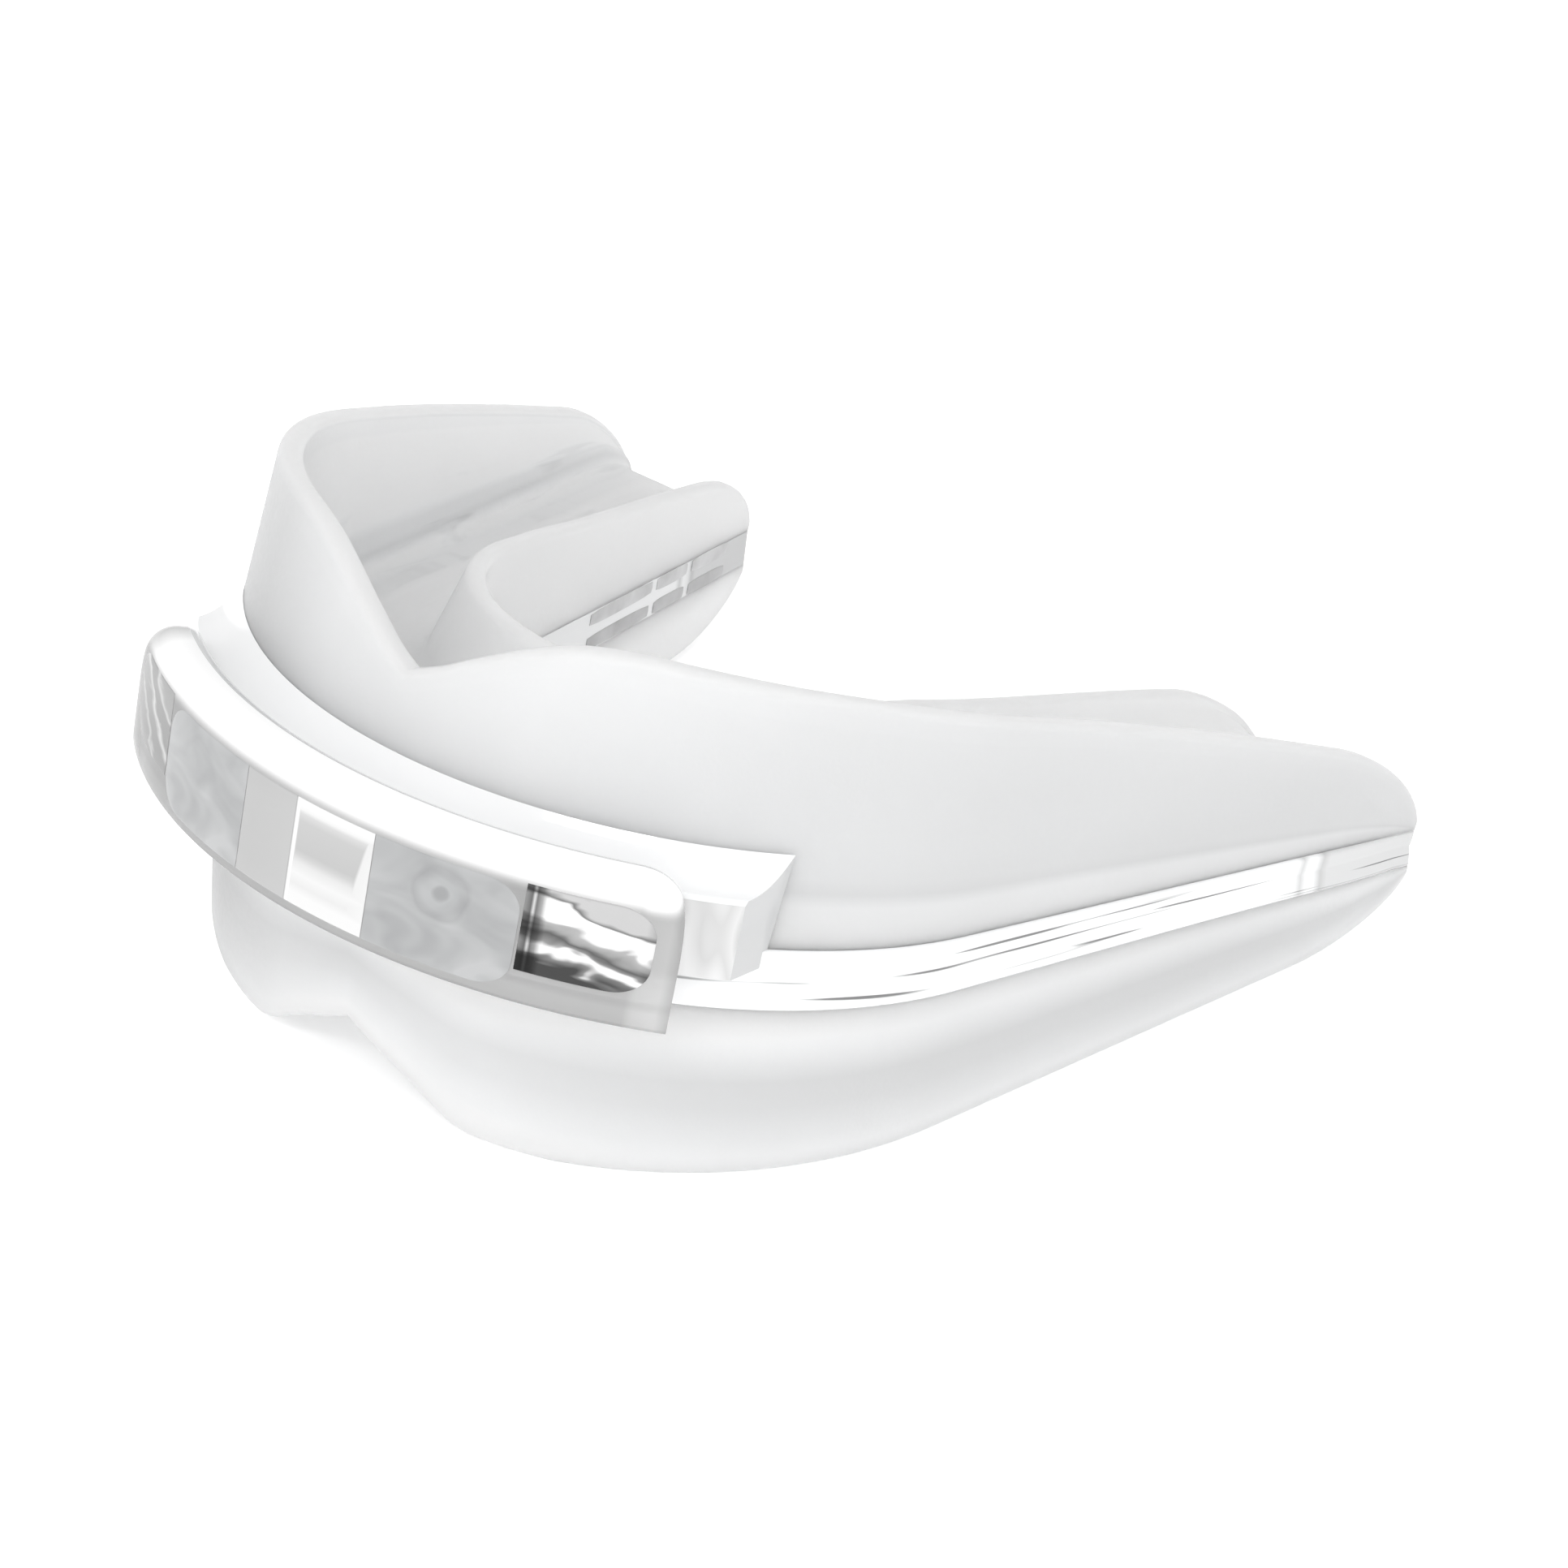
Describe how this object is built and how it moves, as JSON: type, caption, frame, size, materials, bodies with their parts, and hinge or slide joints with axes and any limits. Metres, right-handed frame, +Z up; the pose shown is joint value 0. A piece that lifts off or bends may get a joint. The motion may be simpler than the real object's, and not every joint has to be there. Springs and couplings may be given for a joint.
{
  "type": "boxing mouthguard",
  "caption": "Clear double mouthguard for boxing: two soft U-shaped tooth trays joined by a stiff clear horseshoe core, with a curved bumper bar in front.",
  "frame": {"origin": "middle of the bottom of the bounding box, on the surface that the guard rests on", "axes": "+Z up as the guard rests on a table, -Y the front with the bumper, +X the wearer's left; the bite plane is tilted 9 degrees front up about X"},
  "size_m": [0.0652, 0.062, 0.0287],
  "materials": {
    "soft_tray": "soft translucent frosted EVA",
    "clear_core": "polished clear copolymer",
    "clear_neck": "polished clear copolymer",
    "clear_bumper": "high-gloss clear copolymer",
    "clear_post": "high-gloss clear copolymer",
    "bite_pad": "clear soft elastomer, ribbed"
  },
  "bodies": {
    "root": {"upper_tray": "soft_tray", "lower_tray": "soft_tray", "core_frame": "clear_core", "bumper_neck": "clear_neck", "front_bumper": "clear_bumper", "centre_post": "clear_post", "right_upper_bite_pad": "bite_pad", "right_lower_bite_pad": "bite_pad", "left_upper_bite_pad": "bite_pad", "left_lower_bite_pad": "bite_pad"}
  },
  "joints": []
}
